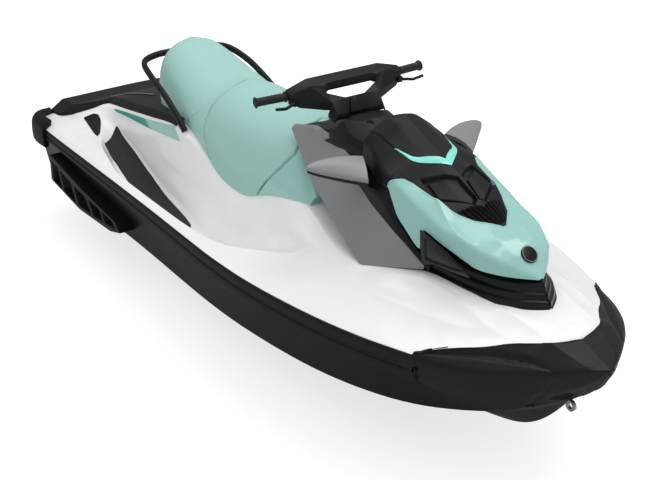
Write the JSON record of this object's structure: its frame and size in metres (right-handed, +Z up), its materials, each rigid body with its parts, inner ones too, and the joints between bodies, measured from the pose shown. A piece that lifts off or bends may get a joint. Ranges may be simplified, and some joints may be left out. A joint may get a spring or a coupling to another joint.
{
  "type": "personal watercraft",
  "caption": "Runabout personal watercraft: V hull, straddle seat, opening front hood over a storage bin, turning handlebar, mirrors and a water jet with steering nozzle and reverse bucket.",
  "frame": {"origin": "centre plane, mid length, at the still waterline of the craft afloat", "axes": "+X towards the bow, +Y to port, +Z up"},
  "size_m": [3.3151, 1.2364, 1.1242],
  "materials": {
    "deck_white": "gloss white gelcoat",
    "hull_black": "semi-gloss black moulding",
    "trim_black": "satin black moulded plastic",
    "panel_mint": "gloss mint moulding",
    "panel_grey": "satin grey moulding",
    "seat_vinyl": "grained marine vinyl",
    "mat_black": "ribbed foam mat",
    "bumper_rubber": "soft moulded bumper",
    "grip_rubber": "ribbed hand grip",
    "metal_cast": "cast and machined",
    "metal_steel": "stainless",
    "engine_grey": "cast block",
    "mirror_silver": "mirror glass",
    "screen_dark": "dark display lens"
  },
  "bodies": {
    "craft": {"bow_bumper": "trim_black", "bow_eye": "metal_steel", "console": "panel_mint", "deck_shell": "deck_white", "engine_block": "engine_grey", "footwell_mat_left": "mat_black", "footwell_mat_right": "mat_black", "front_bezel": "trim_black", "grab_handle": "trim_black", "gunwale_rail_left": "bumper_rubber", "gunwale_rail_right": "bumper_rubber", "hull_shell": "hull_black", "intake_grate": "metal_cast", "lanyard_post": "trim_black", "pump_housing": "metal_cast", "rear_deck": "trim_black", "ride_plate": "metal_cast", "seat_front": "seat_vinyl", "seat_rear": "seat_vinyl", "side_deck_left": "deck_white", "side_deck_right": "deck_white", "side_panel_left": "panel_grey", "side_panel_right": "panel_grey", "sponson_left": "trim_black", "sponson_right": "trim_black", "steering_tower": "trim_black", "stern_bumper_left": "bumper_rubber", "stern_bumper_right": "bumper_rubber", "storage_bin": "trim_black", "tow_eye": "metal_steel"},
    "hood": {"hood_panel": "panel_mint", "hood_grille": "trim_black", "instrument_hood": "trim_black", "gauge_lens": "screen_dark", "mirror_cap_left": "panel_grey", "mirror_cap_right": "panel_grey", "mirror_glass_left": "mirror_silver", "mirror_glass_right": "mirror_silver", "mirror_foot_left": "trim_black", "mirror_foot_right": "trim_black"},
    "bars": {"handlebar": "trim_black", "grip_left": "grip_rubber", "grip_right": "grip_rubber", "lever_left": "trim_black", "lever_right": "trim_black"},
    "glovebox": {"glovebox_lid": "trim_black"},
    "jet_nozzle": {"steering_nozzle": "metal_cast"},
    "bucket": {"reverse_bucket": "metal_cast"},
    "impeller": {"impeller": "metal_steel"}
  },
  "joints": [
    {"name": "steering", "type": "hinge", "parent": "craft", "child": "bars", "pos_m": [0.416, 0, 0.752], "axis": [-0.3499, 0, 0.9368], "range_deg": [-24, 24]},
    {"name": "nozzle_swing", "type": "hinge", "parent": "craft", "child": "jet_nozzle", "pos_m": [-1.539, 0, -0.113], "axis": [0, 0, 1], "range_deg": [-20, 20]},
    {"name": "bucket_drop", "type": "hinge", "parent": "craft", "child": "bucket", "pos_m": [-1.539, 0, -0.113], "axis": [0, -1, 0], "range_deg": [0, 80]},
    {"name": "impeller_spin", "type": "hinge", "parent": "craft", "child": "impeller", "pos_m": [-1.329, 0, -0.113], "axis": [1, 0, 0], "continuous": true},
    {"name": "hood_open", "type": "hinge", "parent": "craft", "child": "hood", "pos_m": [1.313, 0, 0.462], "axis": [0, 1, 0], "range_deg": [0, 50]},
    {"name": "glovebox_open", "type": "hinge", "parent": "craft", "child": "glovebox", "pos_m": [0.231, 0, 0.682], "axis": [0, 1, 0], "range_deg": [0, 40]}
  ],
  "couplings": [
    {"joint": "nozzle_swing", "follows": "steering", "ratio": -0.8333}
  ]
}
